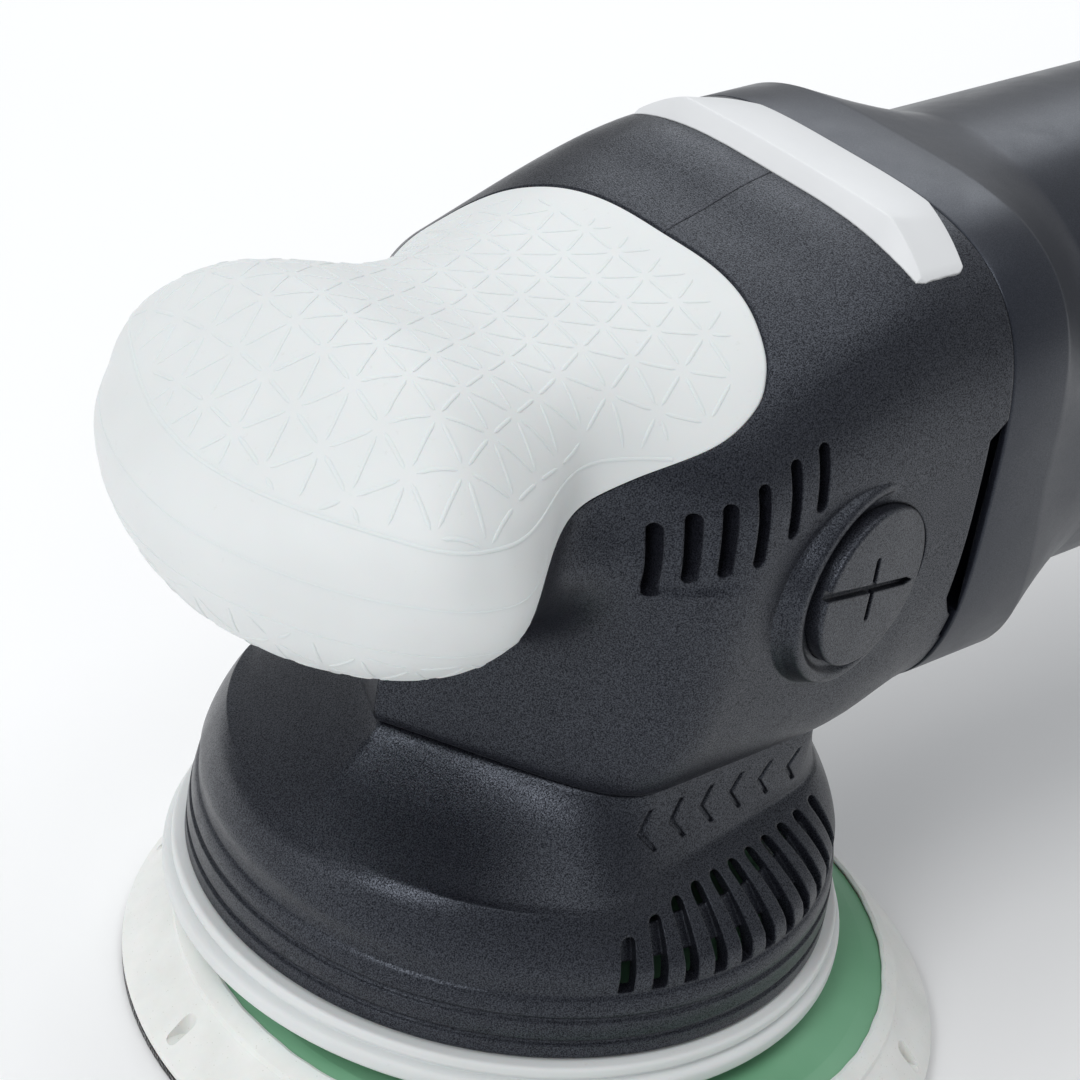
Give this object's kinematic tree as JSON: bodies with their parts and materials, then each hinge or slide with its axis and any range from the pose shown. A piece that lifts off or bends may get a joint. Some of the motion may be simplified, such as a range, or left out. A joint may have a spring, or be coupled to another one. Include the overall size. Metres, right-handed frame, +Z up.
{
  "type": "dual action polisher",
  "caption": "Long-throw dual action polisher: white nose grip, dark head on a vented shroud, motor and rear handle in line, and a hook-faced backing pad that spins and orbits.",
  "frame": {"origin": "on the drive spindle's axis, in the plane of the pad's hook face", "axes": "+X forward to the nose grip, +Y to the tool's left side, +Z up, away from the work"},
  "size_m": [0.403, 0.125, 0.1313],
  "materials": {
    "charcoal_plastic": "fine grained, matt with a slight sparkle",
    "slate_plastic": "smooth satin",
    "grip_rubber": "soft, matt, with an embossed lattice",
    "white_plastic": "satin",
    "green_plastic": "satin",
    "urethane_foam": "soft, matt",
    "hook_nylon": "fine hook pile",
    "black_plastic": "fine grained",
    "potting_resin": "smooth",
    "fan_nylon": "smooth",
    "black_rubber": "soft, matt",
    "steel": "ground",
    "dark_steel": "oiled black",
    "cast_aluminium": "as cast",
    "copper": "lacquered",
    "brass": "plain",
    "carbon": "dull graphite"
  },
  "bodies": {
    "housing": {"head_cover_left": "charcoal_plastic", "head_cover_right": "charcoal_plastic", "boss_plug_left": "charcoal_plastic", "boss_plug_right": "charcoal_plastic", "shroud": "charcoal_plastic", "motor_housing": "slate_plastic", "handle_shell_left": "slate_plastic", "handle_shell_right": "slate_plastic", "nose_grip": "grip_rubber", "bumper_ring": "grip_rubber", "accent_strip": "white_plastic", "fan_baffle": "black_plastic", "brush_cap_left": "black_plastic", "brush_cap_right": "black_plastic", "switch_body": "black_plastic", "speed_module": "potting_resin", "cord_gland": "black_rubber", "bearing_retainer": "steel", "spindle_bearing_lower": "steel", "spindle_bearing_upper": "steel", "motor_bearing_front": "steel", "motor_bearing_rear": "steel", "trigger_pin": "steel", "head_screw_1": "dark_steel", "head_screw_2": "dark_steel", "head_screw_3": "dark_steel", "head_screw_4": "dark_steel", "field_stator": "dark_steel", "handle_screw_1": "dark_steel", "handle_screw_2": "dark_steel", "handle_screw_3": "dark_steel", "gearbox_case": "cast_aluminium", "gearbox_cap": "cast_aluminium", "field_coil_upper": "copper", "field_coil_lower": "copper", "brush_holder_left": "brass", "brush_holder_right": "brass", "carbon_brush_left": "carbon", "carbon_brush_right": "carbon"},
    "spindle": {"spindle_shaft": "steel", "crown_gear": "steel", "eccentric_carrier": "dark_steel", "counterweight": "steel", "pad_bearing_lower": "steel", "pad_bearing_upper": "steel"},
    "pad": {"pad_shaft": "steel", "pad_shaft_nut": "dark_steel", "backing_disc": "green_plastic", "pad_foam": "urethane_foam", "hook_face": "hook_nylon"},
    "armature": {"armature_shaft": "steel", "armature_core": "dark_steel", "winding_front": "copper", "commutator": "copper", "cooling_fan": "fan_nylon", "pinion": "steel"},
    "trigger": {"trigger": "black_plastic"},
    "lock_button": {"lock_button": "black_plastic"},
    "speed_dial": {"speed_dial": "black_plastic"}
  },
  "joints": [
    {"name": "spindle_spin", "type": "hinge", "parent": "housing", "child": "spindle", "pos_m": [0, 0, 0.06], "axis": [0, 0, 1], "continuous": true},
    {"name": "motor_spin", "type": "hinge", "parent": "housing", "child": "armature", "pos_m": [-0.1, 0, 0.0892], "axis": [1, 0, 0], "continuous": true},
    {"name": "pad_spin", "type": "hinge", "parent": "spindle", "child": "pad", "pos_m": [-0.00193, 0.00721, 0.02], "axis": [0, 0, 1], "continuous": true},
    {"name": "trigger_squeeze", "type": "hinge", "parent": "housing", "child": "trigger", "pos_m": [-0.235, 0, 0.066], "axis": [0, 1, 0], "range_deg": [0, 7], "stiffness_Nm_per_rad": 1.2, "springref_deg": -8.59},
    {"name": "lock_press", "type": "slide", "parent": "housing", "child": "lock_button", "axis": [0, -1, 0], "range_m": [0, 0.0024], "stiffness_N_per_m": 800, "springref_m": -0.002},
    {"name": "speed_turn", "type": "hinge", "parent": "housing", "child": "speed_dial", "pos_m": [-0.299, 0, 0.1086], "axis": [0, 1, 0], "range_deg": [-135, 135]}
  ],
  "couplings": [
    {"joint": "motor_spin", "follows": "spindle_spin", "ratio": -4.2222}
  ]
}
